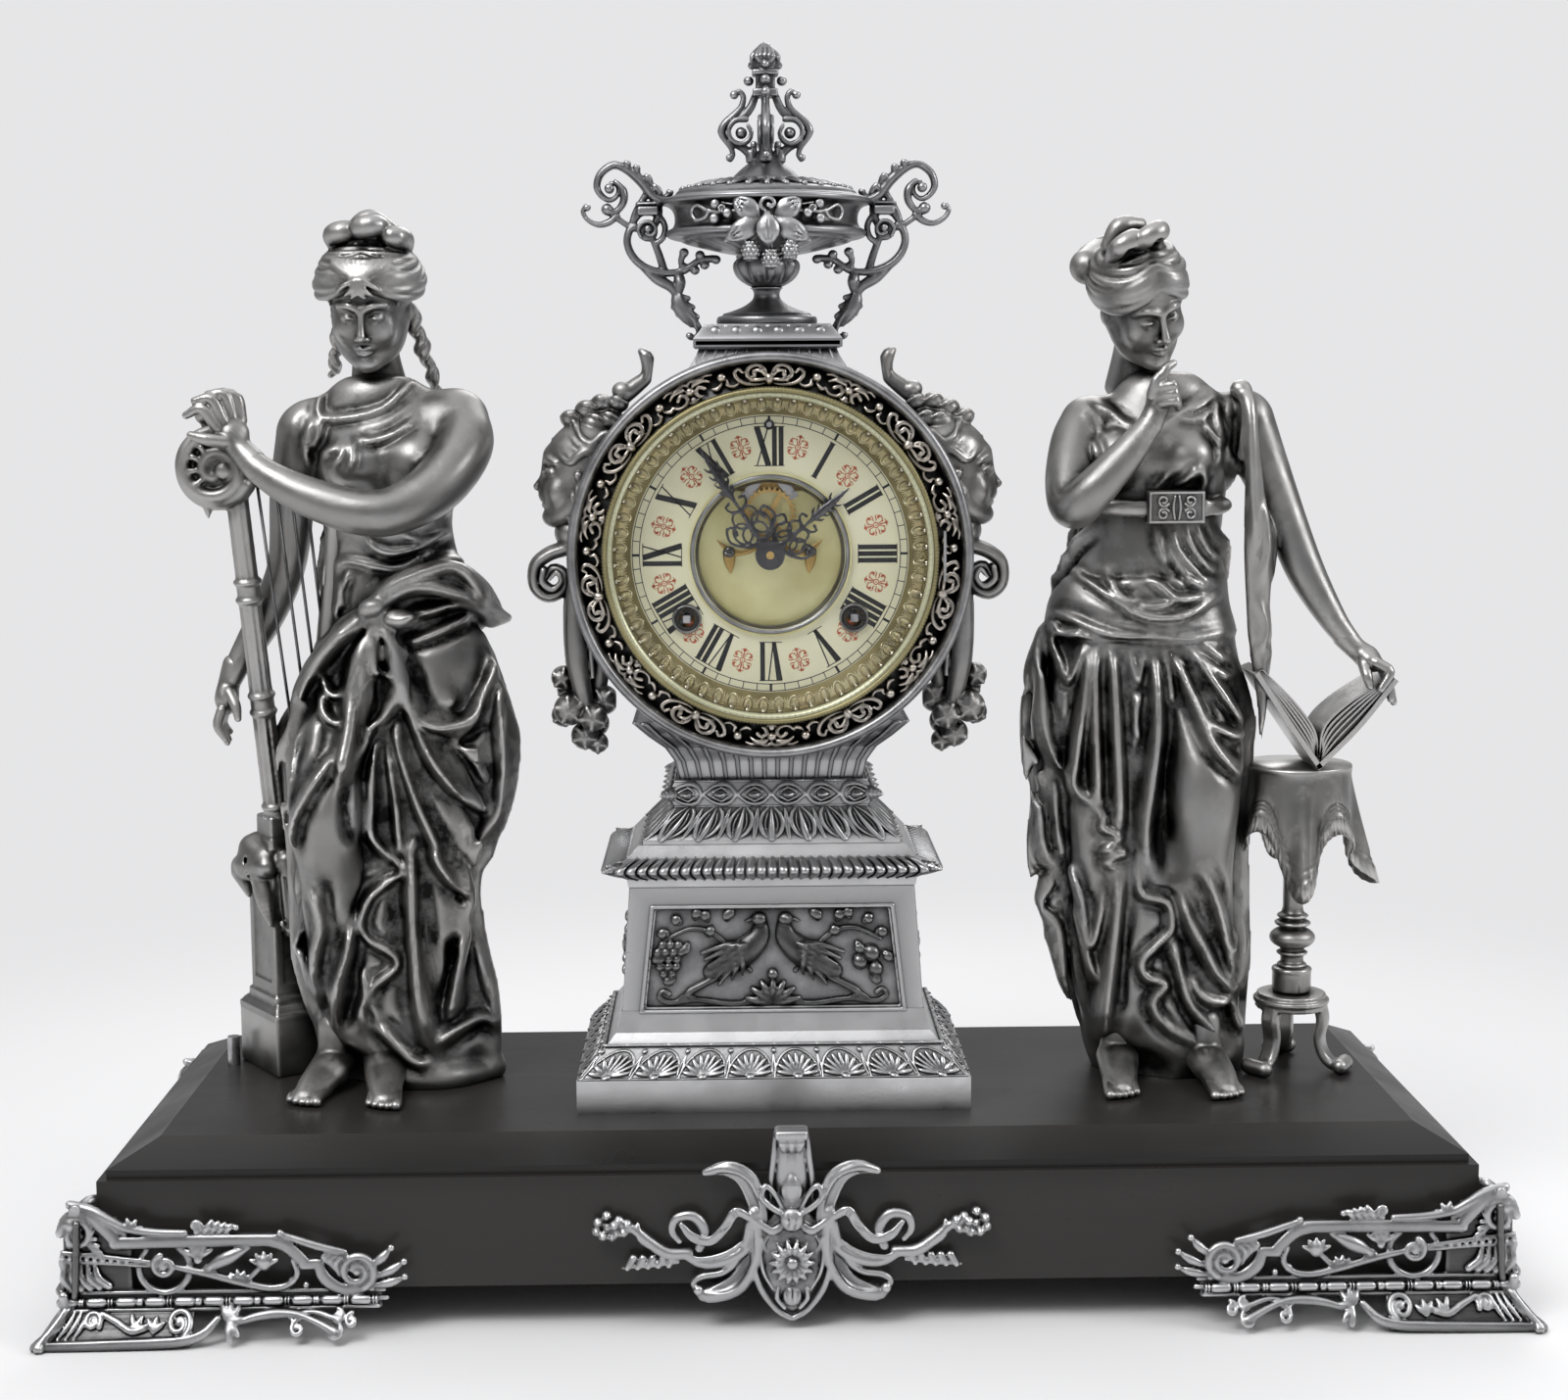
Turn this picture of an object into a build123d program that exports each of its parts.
from build123d import *
import math
import os

# A figural mantel clock: a black wooden base on four pierced metal feet, a cast case with a drum
# and an urn on a pedestal between two draped figures, and an eight-day movement in the drum.
# Millimetres, +Z up, front towards -Y, origin under the middle of the clock at floor height.

# Base
clock_x = -5.5
base_width = 510.0
base_depth = 185.0
base_bottom = 16.1
rail_height = 33.5
rail_thickness = 14.0
lip_height = 8.0
top_bead_inset = 3.0
top_bead_height = 3.2
top_cove_inset = 19.5
top_cove_height = 8.0

# Feet and base ornament
foot_flare = 20.5
foot_front_arm = 113.0
foot_side_arm = 70.0
foot_plate = 5.5
foot_top = 44.0
foot_corner_top = 50.5
foot_rod_height = 15.0
foot_rod_radius = 2.4
foot_ledge = 22.0
foot_tread = 46.0
foot_tread_depth = 30.0
foot_sole = 5.0
volute_radius = 6.5
ornament_height = 72.0
ornament_width = 152.0
ornament_depth = 9.0
ornament_middle = 36.0

# Pedestal, one width and one depth for each level
plinth_width = 151.5
plinth_depth = 103.0
plinth_block_height = 12.9
palmette_width = 129.4
palmette_depth = 86.0
palmette_height = 11.5
plinth_floor = 4.0
die_width = 117.6
die_depth = 78.0
die_foot_height = 12.6
die_top_width = 111.2
die_top_depth = 70.0
die_height = 48.0
panel_width = 92.0
panel_height = 34.0
panel_recess = 2.6
relief_proud = 3.6
cornice_width = 128.2
cornice_depth = 82.0
cornice_rise = 11.4
fillet_width = 112.0
fillet_depth = 72.0
fillet_height = 4.8
bevel_width = 103.0
bevel_depth = 68.0
leaf_width = 99.4
leaf_depth = 67.0
leaf_lip = 2.0
leaf_rise = 3.0
collar_width = 73.0
collar_depth = 60.0
collar_rise = 9.4
guilloche_width = 74.0
guilloche_bulge = 5.8
guilloche_depth = 62.0
guilloche_height = 10.4
neck_width = 69.5
neck_depth = 58.0
neck_flare_width = 104.0
neck_flare_depth = 80.0
neck_hold = 11.9
case_wall = 4.0

# Drum
drum_radius = 75.7
drum_wall = 4.5
drum_gap = 12.1
ring_front = -53.0
ring_thickness = 5.0
drum_back = 50.0
drum_flange = 2.0
access_radius = 52.0
relief_ring_inner = 61.0
relief_bead_radius = 2.2

# Cap and urn
cap_base_width = 70.0
cap_base_depth = 56.0
cap_waist_width = 51.0
cap_waist_depth = 40.0
cap_top_width = 57.0
cap_top_depth = 46.0
cap_bite = 13.3
cap_waist_height = 15.6
cap_shelf_height = 3.2
egg_band_height = 5.6
egg_band_width = 48.0
egg_band_depth = 40.5
urn_foot_radius = 19.3
urn_foot_height = 3.6
urn_stem_radius = 4.8
urn_stem_height = 9.0
urn_bulb_radius = 12.7
urn_bulb_height = 14.0
bowl_radius = 38.7
bowl_rim_radius = 40.6
bowl_floor_height = 7.0
bowl_side_height = 14.2
bowl_wall = 3.0
lid_radius = 34.0
lid_height = 4.0
lid_cone_radius = 13.3
lid_cone_top_radius = 5.2
lid_cone_height = 11.0
finial_cage_radius = 16.5
finial_cage_height = 24.5
finial_collar_radius = 5.6
finial_collar_height = 9.2
finial_cone_radius = 5.2
finial_cone_height = 11.4
handle_radius = 2.4
handle_reach = 72.0
fruit_radius = 11.0
fruit_height = 30.0

# Side masks and their hanging swags
mask_height = 60.0
mask_depth = 34.0
mask_reach = 20.0
mask_middle = 27.0
swag_radius = 6.0
swag_drop = 66.0
swag_offset = 14.0
blossom_radius = 11.0

# Dial and bezel
dial_front = -41.0
dial_thickness = 2.0
dial_radius = 53.6
dial_opening = 29.4
pan_thickness = 1.0
pan_depth = 8.0
pan_rim = 1.6
rehaut_front = -52.6
rehaut_radius = 60.6
rehaut_wall = 1.0
bezel_front = -57.0
bezel_gap = 0.3
bezel_radius = 62.6
bezel_inner = 57.6
glass_thickness = 1.6
seat_gap = 0.05
winding_x = 31.7
winding_drop = 24.2
eyelet_radius = 4.9
eyelet_bore = 3.2
eyelet_height = 1.0
regulator_height = 48.8

# Hinges
barrel_radius = 1.5
hinge_pin_radius = 0.6
hinge_running = 0.05
door_knuckle = 8.0
fixed_knuckle = 5.0
knuckle_gap = 0.3
door_hinge_x = 64.8
door_hinge_y = -57.8
cover_hinge_x = 59.5
cover_radius = 57.0
cover_thickness = 1.6
cover_knob_radius = 4.0
cover_knob_height = 5.0

# Movement
plate_width = 100.0
plate_height = 88.0
plate_thickness = 1.5
front_plate = -27.0
plate_gap = 39.5
pillar_radius = 2.5
pillar_inset = 6.0
arbor_radius = 1.0
centre_radius = 1.5
running = 0.05
pipe_wall = 1.05
great_teeth = 56
centre_pinion_teeth = 22
fine_module = 0.5
centre_teeth = 48
third_pinion_teeth = 10
third_teeth = 48
escape_pinion_teeth = 8
cannon_teeth = 12
minute_teeth = 36
minute_pinion_teeth = 10
hour_teeth = 40
wheel_thickness = 1.2
great_thickness = 2.0
pinion_length = 4.0
great_plane = 5.0
centre_plane = -8.0
third_plane = -18.0
motion_gap = 0.8
minute_wheel_turn = 225.0
escape_rise = 15.1
escape_radius = 10.4
escape_teeth = 30
escape_front = -36.5
escape_thickness = 0.8
anchor_rise = 31.5
anchor_pin_x = 9.5
anchor_pin_rise = 22.6
anchor_pin_radius = 1.0
anchor_front = -35.2
anchor_thickness = 0.8
arbor_overrun = 1.0
winding_arbor_radius = 2.0
winding_square = 2.8
winding_front = -43.5
ratchet_radius = 9.0
ratchet_plane = -12.0

# Pendulum, hammer and gong
pendulum_y = 21.0
pendulum_length = 148.0
rod_radius = 0.9
bob_radius = 13.0
bob_thickness = 5.0
crutch_slot = 0.5
crutch_plate = 1.2
crutch_drop = 22.0
suspension_rise = 8.0
suspension_gap = 1.2
gong_y = 32.0
gong_radius = 33.0
gong_wire = 1.3
gong_step = 2.3
gong_half_turns = 7
gong_block_radius = 5.0
hammer_x = 42.0
hammer_rise = 30.0
hammer_head_radius = 4.0
hammer_rest_gap = 1.5

# Hands
hour_length = 39.6
hour_turn = 50.3
hour_front = -44.0
minute_length = 49.2
minute_turn = -33.1
minute_front = -46.2
hand_thickness = 0.8
hand_hub_radius = 4.4
nut_radius = 5.5
nut_height = 1.6

# Figures
musician_x = -157.0
musician_y = 10.0
musician_height = 282.0
reader_x = 147.0
reader_y = 8.0
reader_height = 282.0
head_radius = 20.0
head_height = 29.0
bun_radius = 9.0
arm_radius = 9.5
wrist_radius = 5.0
hand_radius = 6.0
harp_y = 26.0
harp_block_width = 31.0
harp_block_height = 88.0
harp_pillar_radius = 4.2
harp_scroll_radius = 15.5
string_radius = 0.5
reader_pattern_height = 282.0
table_offset = 61.0
book_offset = 66.5
table_y_offset = -3.0
table_radius_pattern = 20.6
table_height_pattern = 125.0
cloth_drop_pattern = 34.0
cloth_flare_pattern = 3.6
column_radius_pattern = 4.6
leg_radius_pattern = 2.6
leg_reach_pattern = 19.0
book_height_pattern = 40.0
book_depth_pattern = 30.0
book_cover_pattern = 2.4
book_open_angle = 34.0

# Fasteners and cutting
stud_radius = 2.5
stud_grip = 12.0
nut_across = 9.0
nut_thickness = 4.0
screw_radius = 1.6
screw_length = 12.0
cut_overrun = 2.0

rail_top = base_bottom + rail_height
lip_z = rail_top + lip_height
floor_z = lip_z + top_bead_height + top_cove_height
die_z = floor_z + plinth_block_height + palmette_height + die_foot_height
cornice_top = die_z + die_height + cornice_rise + fillet_height
pedestal_z = cornice_top + leaf_lip + leaf_rise + collar_rise + guilloche_height
dial_height = pedestal_z + drum_gap + drum_radius
neck_height = drum_gap + neck_hold
cap_bottom = dial_height + drum_radius - cap_bite
reader_scale = reader_height / reader_pattern_height
table_x = reader_x + table_offset * reader_scale
book_x = reader_x + book_offset * reader_scale
table_y = reader_y + table_y_offset * reader_scale
table_radius = table_radius_pattern * reader_scale
table_height = table_height_pattern * reader_scale
cloth_drop = cloth_drop_pattern * reader_scale
cloth_flare = cloth_flare_pattern * reader_scale
column_radius = column_radius_pattern * reader_scale
leg_radius = leg_radius_pattern * reader_scale
leg_reach = leg_reach_pattern * reader_scale
book_height = book_height_pattern * reader_scale
book_depth = book_depth_pattern * reader_scale
book_cover = book_cover_pattern * reader_scale
half_width = base_width / 2
half_depth = base_depth / 2
made = {}


def box_between(x0, x1, y0, y1, z0, z1):
    """A box from its two corners."""
    middle = ((x0 + x1) / 2, (y0 + y1) / 2, (z0 + z1) / 2)
    return Pos(*middle) * Box(abs(x1 - x0), abs(y1 - y0), abs(z1 - z0))


def frustum(low_width, low_depth, low_z, high_width, high_depth, high_z):
    """A straight-sided block between two rectangles on the Z axis."""
    low = Plane.XY.offset(low_z) * Rectangle(low_width, low_depth)
    high = Plane.XY.offset(high_z) * Rectangle(high_width, high_depth)
    return loft([low.face(), high.face()], ruled=True)


def fuse(shapes):
    """One solid from shapes that meet."""
    body = shapes[0]
    for shape in shapes[1:]:
        body = body + shape
    return body


def rod_y(radius, y0, y1, x=0, z=0):
    """A round rod along Y."""
    return Pos(x, (y0 + y1) / 2, z) * Rot(90, 0, 0) * Cylinder(radius, abs(y1 - y0))


def rod_z(radius, z0, z1, x=0, y=0):
    """A round rod along Z."""
    return Pos(x, y, (z0 + z1) / 2) * Cylinder(radius, abs(z1 - z0))


def ring_y(outer, inner, y0, y1, x=0, z=0):
    """A flat ring or tube along Y."""
    low = min(y0, y1) - cut_overrun
    high = max(y0, y1) + cut_overrun
    return rod_y(outer, y0, y1, x, z) - rod_y(inner, low, high, x, z)


def plate_y(outline, y0, y1):
    """A plate cut from an outline drawn in X and Z, between two depths."""
    back = max(y0, y1)
    plane = Plane(origin=(0, back, 0), x_dir=(1, 0, 0), z_dir=(0, -1, 0))
    return extrude(plane * outline, amount=abs(y1 - y0))


def turned(points, x=0, y=0):
    """A turned solid about a vertical axis from (radius, z) points that start and end on it."""
    outline = Plane.XZ * make_face(Polyline(*points, close=True))
    return Pos(x, y, 0) * revolve(outline, Axis.Z)


def egg(x, y, z, rx, ry, rz):
    """An ellipsoid."""
    return Pos(x, y, z) * scale(Sphere(1), by=(rx, ry, rz))


def bar(points, radii):
    """A round bar through points, with its own radius at each."""
    pieces = []
    for (a, ra), (b, rb) in zip(zip(points, radii), list(zip(points, radii))[1:]):
        direction = Vector(*b) - Vector(*a)
        plane = Plane(origin=a, z_dir=direction)
        cone = Solid.make_cone(ra, rb, direction.length, plane) if abs(ra - rb) > 0 \
            else Solid.make_cylinder(ra, direction.length, plane)
        pieces.append(cone)
    knob_share = 1.03
    for point, radius in zip(points, radii):
        pieces.append(Pos(*point) * Sphere(radius * knob_share))
    return fuse(pieces)


def lofted(sections, x, y, z, width, depth, height):
    """A smooth body through ellipses given as shares: height, middle x, middle y, half x, half y."""
    faces = []
    for rise, mid_x, mid_y, half_x, half_y in sections:
        plane = Plane(origin=(x + mid_x * width, y + mid_y * depth, z + rise * height))
        faces.append((plane * Ellipse(half_x * width, half_y * depth)).face())
    return loft(faces)


def draped(section_shares, fold_shares, x, y, height):
    """A gown: a smooth body, with the legs under the cloth and the main folds laid on as round bars."""
    body = [lofted(section_shares, x, y, floor_z, height, height, height)]
    for fold in fold_shares:
        points = [(x + sx * height, y + sy * height, floor_z + sz * height) for sx, sy, sz, _ in fold]
        body.append(bar(points, [share * height for *_, share in fold]))
    return fuse(body)


def largest(shape):
    """The largest solid of a cut shape."""
    return max(shape.solids(), key=lambda solid: solid.volume)


def mirror_x(shape):
    """The same piece on the other side, left for right."""
    return mirror(shape, Plane.YZ)


def mirror_y(shape):
    """The same piece at the back."""
    return mirror(shape, Plane.XZ)


def keep(name, *shapes):
    """Keep a finished piece, or a group of like pieces, under its name."""
    solids = []
    for shape in shapes:
        solids.extend(shape.solids())
    made[name] = solids[0] if len(solids) == 1 else Compound(children=solids)


def keep_clock(name, *shapes):
    """Keep a piece of the clock, which stands a little to the left of the base's middle."""
    keep(name, *[Pos(clock_x, 0, 0) * shape for shape in shapes])


def gear(teeth, pitch_radius, toward, gap, y0, y1, x=0, z=0):
    """A flat-toothed gear with a tooth, or a gap, on the line that leads away at this angle."""
    module = 2 * pitch_radius / teeth
    addendum_share = 0.75
    dedendum_share = 1.1
    root_share = 0.30
    tip_share = 0.11
    pitch_angle = 360 / teeth
    start = toward + (pitch_angle / 2 if gap else 0)
    points = []
    for tooth in range(teeth):
        middle = start + tooth * pitch_angle
        for share, radius in ((-root_share, pitch_radius - dedendum_share * module),
                              (-tip_share, pitch_radius + addendum_share * module),
                              (tip_share, pitch_radius + addendum_share * module),
                              (root_share, pitch_radius - dedendum_share * module)):
            angle = math.radians(middle + share * pitch_angle)
            points.append((x + radius * math.cos(angle), z + radius * math.sin(angle)))
    outline = make_face(Polyline(*points, close=True))
    return plate_y(outline, y0, y1)


def base_parts():
    """Four rails and a moulded top board, all black lacquered wood."""
    inner_x = half_width - rail_thickness
    inner_y = half_depth - rail_thickness
    rails = [box_between(-half_width, half_width, -half_depth, -inner_y, base_bottom, rail_top),
             box_between(-half_width, half_width, inner_y, half_depth, base_bottom, rail_top),
             box_between(-half_width, -inner_x, -inner_y, inner_y, base_bottom, rail_top),
             box_between(inner_x, half_width, -inner_y, inner_y, base_bottom, rail_top)]
    bead_z = lip_z + top_bead_height
    bead_width = base_width - 2 * top_bead_inset
    bead_depth = base_depth - 2 * top_bead_inset
    top_width = base_width - 2 * top_cove_inset
    top_depth = base_depth - 2 * top_cove_inset
    board = fuse([box_between(-half_width, half_width, -half_depth, half_depth, rail_top, lip_z),
                  frustum(bead_width, bead_depth, lip_z, bead_width, bead_depth, bead_z),
                  frustum(bead_width, bead_depth, bead_z, top_width, top_depth, floor_z)])
    return rails, board


def foot():
    """The front left foot: a pierced bracket round the corner, flared out to its tread."""
    x0 = -half_width
    y0 = -half_depth
    face_x = x0 - foot_plate
    face_y = y0 - foot_plate
    end_x = x0 + foot_front_arm
    end_y = y0 + foot_side_arm
    low = foot_rod_height
    span = foot_front_arm
    step_shares = (0.10, 0.52, 0.66, 0.78, 0.88)
    rise_shares = (0.78, 0.84, 0.45, 0.30)
    tall = foot_top - low
    front = [(face_x, low), (face_x, foot_corner_top), (x0 + step_shares[0] * span, foot_corner_top),
             (x0 + 2 * step_shares[0] * span, low + rise_shares[0] * tall),
             (x0 + step_shares[1] * span, low + rise_shares[1] * tall),
             (x0 + step_shares[2] * span, low + rise_shares[2] * tall),
             (x0 + step_shares[4] * span, low + rise_shares[3] * tall),
             (x0 + step_shares[4] * span, low)]
    front_plate_shape = plate_y(make_face(Polyline(*front, close=True)), face_y, y0)
    window = [(x0 + step_shares[0] * span, low + 2 * foot_rod_radius),
              (x0 + step_shares[1] * span, low + 2 * foot_rod_radius),
              (x0 + step_shares[1] * span, low + rise_shares[2] * tall),
              (x0 + 2 * step_shares[0] * span, low + rise_shares[2] * tall)]
    front_plate_shape -= plate_y(make_face(Polyline(*window, close=True)), face_y - cut_overrun,
                                 y0 + cut_overrun)
    side_span = foot_side_arm
    side = [(face_y, low), (face_y, foot_corner_top), (y0 + step_shares[0] * span, foot_corner_top),
            (y0 + step_shares[1] * side_span, low + rise_shares[1] * tall),
            (y0 + side_span, low + rise_shares[3] * tall), (y0 + side_span, low)]
    side_outline = make_face(Polyline(*side, close=True))
    side_plane = Plane(origin=(face_x, 0, 0), x_dir=(0, 1, 0), z_dir=(1, 0, 0))
    side_plate = extrude(side_plane * side_outline, amount=foot_plate)
    rod_level = foot_rod_height + foot_rod_radius
    front_rod = Pos((face_x + end_x) / 2, face_y, rod_level) * Rot(0, 90, 0)
    front_rod *= Cylinder(foot_rod_radius, end_x - face_x)
    side_rod = Pos(face_x, (face_y + end_y) / 2, rod_level) * Rot(90, 0, 0)
    side_rod *= Cylinder(foot_rod_radius, end_y - face_y)
    tip_x = x0 - foot_flare
    tip_y = y0 - foot_flare
    tread_x = x0 + foot_tread
    tread_y = y0 + foot_tread_depth
    upper = Plane.XY.offset(foot_rod_height) * Pos((face_x + tread_x) / 2, (face_y + tread_y) / 2) \
        * Rectangle(tread_x - face_x, tread_y - face_y)
    lower = Plane.XY.offset(foot_sole) * Pos((tip_x + tread_x) / 2, (tip_y + tread_y) / 2) \
        * Rectangle(tread_x - tip_x, tread_y - tip_y)
    flare = loft([lower.face(), upper.face()], ruled=True)
    sole = box_between(tip_x, tread_x, tip_y, tread_y, 0, foot_sole)
    ledge = box_between(face_x, x0 + foot_ledge + foot_ledge, face_y, y0 + foot_tread_depth,
                        foot_rod_height, base_bottom)
    scroll_end = x0 + step_shares[4] * span
    volute = rod_y(volute_radius, face_y - foot_rod_radius, y0, scroll_end,
                   foot_rod_height + volute_radius + foot_rod_radius)
    corner_volute = rod_y(volute_radius, face_y - foot_rod_radius, y0, face_x, foot_top - volute_radius / 2)
    return fuse([front_plate_shape, side_plate, front_rod, side_rod, flare, sole, ledge, volute,
                 corner_volute])


def ornament():
    """The centre mount on the front rail: a pointed shield, scrolled arms and side sprays."""
    y1 = -half_depth
    y0 = y1 - ornament_depth
    w = ornament_width / 2
    h = ornament_height
    mid = ornament_middle
    shield_shares = ((0.00, -0.47), (0.11, -0.33), (0.20, -0.12), (0.22, 0.10), (0.14, 0.28),
                     (-0.14, 0.28), (-0.22, 0.10), (-0.20, -0.12), (-0.11, -0.33))
    shield = plate_y(make_face(Polyline(*[(sx * w, mid + sz * h) for sx, sz in shield_shares], close=True)),
                     y0, y1)
    tongue_share = 0.55
    tongue = box_between(-shield_shares[1][0] * w, shield_shares[1][0] * w, y0, y1,
                         mid, mid + tongue_share * h)
    spray_shares = ((0.18, -0.10), (0.50, -0.08), (0.98, 0.10), (0.92, 0.16), (0.55, 0.06), (0.18, 0.10))
    leaf_shares = ((0.10, -0.20), (0.45, -0.36), (0.50, -0.26), (0.30, -0.05), (0.10, 0.05))
    horn_shares = ((0.14, 0.05), (0.20, 0.22), (0.40, 0.33), (0.38, 0.38), (0.20, 0.34), (0.08, 0.22))
    thin_share = 0.45
    front = y1 - thin_share * ornament_depth
    pieces = [shield, tongue]
    for shares in (spray_shares, leaf_shares, horn_shares):
        for side in (-1, 1):
            points = [(side * sx * w, mid + sz * h) for sx, sz in shares]
            pieces.append(plate_y(make_face(Polyline(*points, close=True)), front, y1))
    boss_share = 0.16
    pieces.append(rod_y(boss_share * w * 2 / 2, y0 - boss_share * ornament_depth, y1, 0,
                        mid - boss_share * h / 2))
    whole = fuse(pieces)
    back_of_bead = box_between(-w, w, y1, y1 + cut_overrun, 0, lip_z)
    return whole - back_of_bead


def pedestal():
    """Plinth, die, cornice and collar: hollow castings that stack up to the drum."""
    z1 = floor_z + plinth_block_height
    z2 = z1 + palmette_height
    z3 = z2 + die_foot_height
    z4 = z3 + die_height
    bore_x = neck_width / 2 - case_wall
    bore_y = neck_depth / 2 - case_wall
    room_x = die_top_width / 2 - 2 * case_wall
    room_y = die_top_depth / 2 - 2 * case_wall
    cove_share = 0.35
    foot_mid_width = die_width + cove_share * (palmette_width - die_width)
    foot_mid_depth = die_depth + cove_share * (palmette_depth - die_depth)
    foot_mid = z2 + cove_share * die_foot_height
    plinth = fuse([frustum(plinth_width, plinth_depth, floor_z, plinth_width, plinth_depth, z1),
                   frustum(plinth_width - case_wall / 2, plinth_depth - case_wall / 2, z1,
                           palmette_width, palmette_depth, z2),
                   frustum(palmette_width, palmette_depth, z2, foot_mid_width, foot_mid_depth, foot_mid),
                   frustum(foot_mid_width, foot_mid_depth, foot_mid, die_width, die_depth, z3)])
    plinth -= box_between(-room_x, room_x, -room_y, room_y, floor_z + plinth_floor, z3 + cut_overrun)
    die = frustum(die_width, die_depth, z3, die_top_width, die_top_depth, z4)
    die -= box_between(-room_x, room_x, -room_y, room_y, z3 - cut_overrun, z4 + cut_overrun)
    lean = math.degrees(math.atan2((die_depth - die_top_depth) / 2, die_height))
    side_lean = math.degrees(math.atan2((die_width - die_top_width) / 2, die_height))
    face_y = -(die_depth + die_top_depth) / 4
    face_x = (die_width + die_top_width) / 4
    mid_z = (z3 + z4) / 2
    front_recess = Pos(0, face_y, mid_z) * Rot(-lean, 0, 0) * Box(panel_width, 2 * panel_recess,
                                                                  panel_height)
    die -= front_recess
    plaque_share = 0.9
    plaque_step = panel_recess - relief_proud / 2
    plaque = Pos(0, face_y, mid_z) * Rot(-lean, 0, 0) * Pos(0, plaque_step, 0) \
        * Box(panel_width * plaque_share, relief_proud, panel_height * plaque_share)
    side_share = 0.42
    side_height_share = 0.72
    plaques = [plaque]
    for side in (-1, 1):
        sprig = Pos(side * face_x, 0, mid_z) * Rot(0, -side * side_lean,
                                                   0) * Pos(side * relief_proud / 4, 0, 0) \
            * Box(relief_proud / 2, die_depth * side_share, panel_height * side_height_share)
        plaques.append(sprig)
    z5 = z4 + cornice_rise
    z6 = z5 + fillet_height
    z7 = z6 + leaf_lip
    z8 = z7 + leaf_rise
    z9 = z8 + collar_rise
    z10 = z9 + guilloche_height
    rim_low_share = 0.28
    rim_share = 0.66
    cove_mid_share = 0.4
    rim_low = z4 + rim_low_share * cornice_rise
    rim = z4 + rim_share * cornice_rise
    cove_width = collar_width + cove_mid_share * (leaf_width - collar_width)
    cove_depth = collar_depth + cove_mid_share * (leaf_depth - collar_depth)
    belly_width = guilloche_width + guilloche_bulge
    belly_depth = guilloche_depth + guilloche_bulge
    belly_z = (z9 + z10) / 2
    top = fuse([frustum(die_top_width, die_top_depth, z4, fillet_width, fillet_depth, rim_low),
                frustum(fillet_width, fillet_depth, rim_low, cornice_width, cornice_depth, rim),
                frustum(cornice_width, cornice_depth, rim, fillet_width, fillet_depth, z5),
                frustum(fillet_width, fillet_depth, z5, bevel_width, bevel_depth, z6),
                frustum(leaf_width, leaf_depth, z6, leaf_width, leaf_depth, z7),
                frustum(leaf_width, leaf_depth, z7, cove_width, cove_depth, z8),
                frustum(cove_width, cove_depth, z8, collar_width, collar_depth, z9),
                frustum(guilloche_width, guilloche_depth, z9, belly_width, belly_depth, belly_z),
                frustum(belly_width, belly_depth, belly_z, guilloche_width, guilloche_depth, z10)])
    top -= box_between(-bore_x, bore_x, -bore_y, bore_y, z4 - cut_overrun, z10 + cut_overrun)
    neck_steps = []
    width, depth, level = neck_width, neck_depth, z10
    neck_shares = ((0.31, 0.10), (0.54, 0.30), (0.75, 0.65), (1.0, 1.0))
    for rise_share, flare_share in neck_shares:
        next_width = neck_width + flare_share * (neck_flare_width - neck_width)
        next_depth = neck_depth + flare_share * (neck_flare_depth - neck_depth)
        next_level = z10 + rise_share * neck_height
        neck_steps.append(frustum(width, depth, level, next_width, next_depth, next_level))
        width, depth, level = next_width, next_depth, next_level
    neck = fuse(neck_steps)
    neck -= rod_y(drum_radius, -plinth_depth, plinth_depth, 0, dial_height)
    neck -= box_between(-bore_x, bore_x, -bore_y, bore_y, z10 - cut_overrun, dial_height)
    return plinth, die, plaques, top, neck, z10


def drum(neck_z):
    """The drum shell with its back flange, and the relief ring round the bezel."""
    shell_front = ring_front + ring_thickness
    inner = drum_radius - drum_wall
    shell = ring_y(drum_radius, inner, shell_front, drum_back, 0, dial_height)
    flange = ring_y(inner, access_radius, drum_back - drum_flange, drum_back, 0, dial_height)
    shell = shell + flange
    slot_x = neck_width / 2 - case_wall
    slot_y = neck_depth / 2 - case_wall
    shell -= box_between(-slot_x, slot_x, -slot_y, slot_y, neck_z, dial_height)
    front = ring_y(drum_radius, relief_ring_inner, ring_front, shell_front, 0, dial_height)
    ring_plane = Plane(origin=(0, ring_front, dial_height), x_dir=(1, 0, 0), z_dir=(0, -1, 0))
    rim_path = drum_radius - relief_bead_radius
    front += ring_plane * Torus(rim_path, relief_bead_radius)
    scroll_share = 0.55
    front += ring_plane * Torus((drum_radius + bezel_radius) / 2, relief_bead_radius * scroll_share * 2)
    return shell, front


def cap():
    """The fluted neck and egg-banded plinth that carry the urn on the drum."""
    waist_z = cap_bottom + cap_waist_height
    shelf_z = waist_z + cap_shelf_height
    top_z = shelf_z + egg_band_height
    block = fuse([frustum(cap_base_width, cap_base_depth, cap_bottom, cap_waist_width, cap_waist_depth,
                          waist_z),
                  frustum(cap_top_width, cap_top_depth, waist_z, cap_top_width, cap_top_depth, shelf_z),
                  frustum(cap_top_width, cap_top_depth, shelf_z, egg_band_width, egg_band_depth, top_z)])
    block -= rod_y(drum_radius, -plinth_depth, plinth_depth, 0, dial_height)
    return block, top_z


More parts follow.
